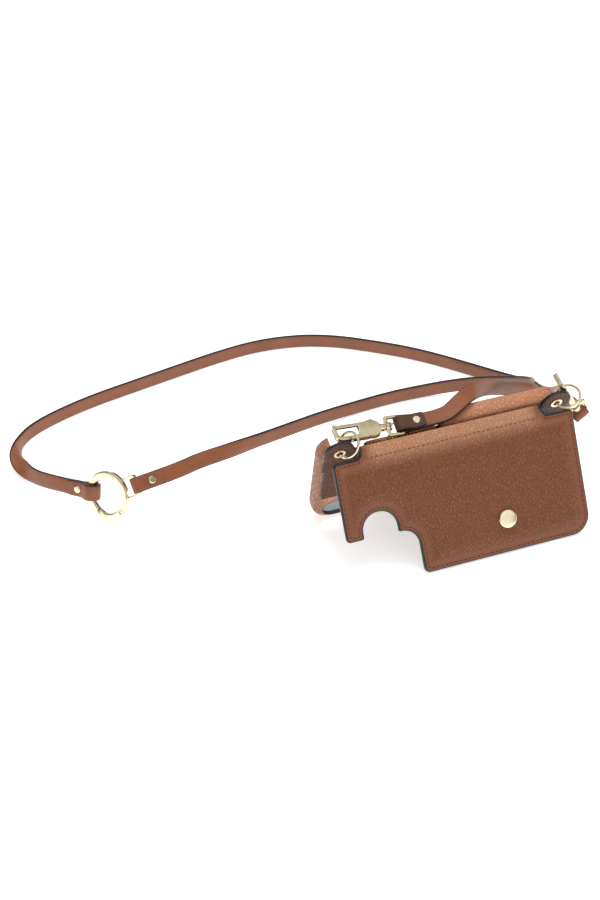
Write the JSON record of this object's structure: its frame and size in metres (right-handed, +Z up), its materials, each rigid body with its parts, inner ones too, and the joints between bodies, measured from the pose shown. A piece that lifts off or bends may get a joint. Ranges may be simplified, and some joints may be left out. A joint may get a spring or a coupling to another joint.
{
  "type": "phone pouch",
  "caption": "Leather phone case with a hinged card flap on its back and a clip-on carry strap, standing open like a tent.",
  "frame": {"origin": "under the middle of the pouch without its strap, on the floor", "axes": "+X along the phone towards the port end, +Y from the flap towards the case's open side, +Z up"},
  "size_m": [0.3573, 0.2744, 0.0826],
  "materials": {
    "tan_leather": "pebbled satin",
    "strap_leather": "smooth satin",
    "dark_leather": "satin",
    "lining": "matte",
    "black_shell": "matte",
    "board": "matte",
    "closure_steel": "brushed",
    "pale_gold": "polished"
  },
  "bodies": {
    "phone_case": {"case_leather_back": "tan_leather", "case_leather_edge": "tan_leather", "case_shell": "black_shell", "case_lining": "lining", "camera_rim": "black_shell", "eyelet_left": "pale_gold", "eyelet_right": "pale_gold", "back_panel": "dark_leather", "closure_disc_case": "closure_steel", "hinge_strip": "dark_leather", "clasp_left_loop": "pale_gold", "clasp_right_loop": "pale_gold", "strap_end_ring": "strap_leather", "strap_rivet_ring": "pale_gold", "strap_end_loop": "strap_leather", "strap_rivet_loop": "pale_gold", "strap_end_left": "strap_leather", "strap_rivet_left": "pale_gold", "strap_end_right": "strap_leather", "strap_rivet_right": "pale_gold", "strap_long": "strap_leather", "strap_short": "strap_leather", "carry_ring": "pale_gold", "carry_gate_pin": "pale_gold"},
    "flap": {"flap_leather": "tan_leather", "flap_board": "board", "flap_lining": "lining", "flap_stud": "pale_gold", "card_pocket": "lining", "closure_disc_flap": "closure_steel"},
    "jump_ring_left": {"jump_ring_left": "pale_gold"},
    "clasp_left": {"clasp_left_body": "pale_gold", "clasp_left_neck": "pale_gold", "clasp_left_gate_pin": "pale_gold"},
    "clasp_left_gate": {"clasp_left_gate": "pale_gold"},
    "jump_ring_right": {"jump_ring_right": "pale_gold"},
    "clasp_right": {"clasp_right_body": "pale_gold", "clasp_right_neck": "pale_gold", "clasp_right_gate_pin": "pale_gold"},
    "clasp_right_gate": {"clasp_right_gate": "pale_gold"},
    "carry_gate": {"carry_gate": "pale_gold"}
  },
  "joints": [
    {"name": "flap_fold", "type": "hinge", "parent": "phone_case", "child": "flap", "pos_m": [-0.0128, -0.00253, 0.07176], "axis": [-1, 0, 0], "range_deg": [-48.5, 45]},
    {"name": "ring_swing_left", "type": "hinge", "parent": "phone_case", "child": "jump_ring_left", "pos_m": [-0.0788, 0.00244, 0.07001], "axis": [0, -0.9323, -0.3616], "range_deg": [-6, 6]},
    {"name": "clasp_swivel_left", "type": "hinge", "parent": "phone_case", "child": "clasp_left", "pos_m": [-0.0794, 0.00857, 0.0783], "axis": [0.9966, -0.0123, -0.081], "range_deg": [-10, 10]},
    {"name": "clasp_gate_left", "type": "hinge", "parent": "clasp_left", "child": "clasp_left_gate", "pos_m": [-0.06072, 0.0125, 0.07788], "axis": [0.0752, -0.255, 0.964], "range_deg": [0, 14], "stiffness_Nm_per_rad": 0.02},
    {"name": "ring_swing_right", "type": "hinge", "parent": "phone_case", "child": "jump_ring_right", "pos_m": [0.0582, 0.00244, 0.07001], "axis": [0, -0.9323, -0.3616], "range_deg": [-6, 6]},
    {"name": "clasp_swivel_right", "type": "hinge", "parent": "phone_case", "child": "clasp_right", "pos_m": [0.06237, 0.00877, 0.0801], "axis": [0.507, 0.1841, -0.8421], "range_deg": [-10, 10]},
    {"name": "clasp_gate_right", "type": "hinge", "parent": "clasp_right", "child": "clasp_right_gate", "pos_m": [0.072, 0.01637, 0.06547], "axis": [0.8607, -0.1613, 0.4829], "range_deg": [0, 14], "stiffness_Nm_per_rad": 0.02},
    {"name": "carry_gate_swing", "type": "hinge", "parent": "phone_case", "child": "carry_gate", "pos_m": [-0.19911, 0.07264, 0.01025], "axis": [0.6998, 0.6083, -0.3746], "range_deg": [0, 20], "stiffness_Nm_per_rad": 0.02}
  ]
}
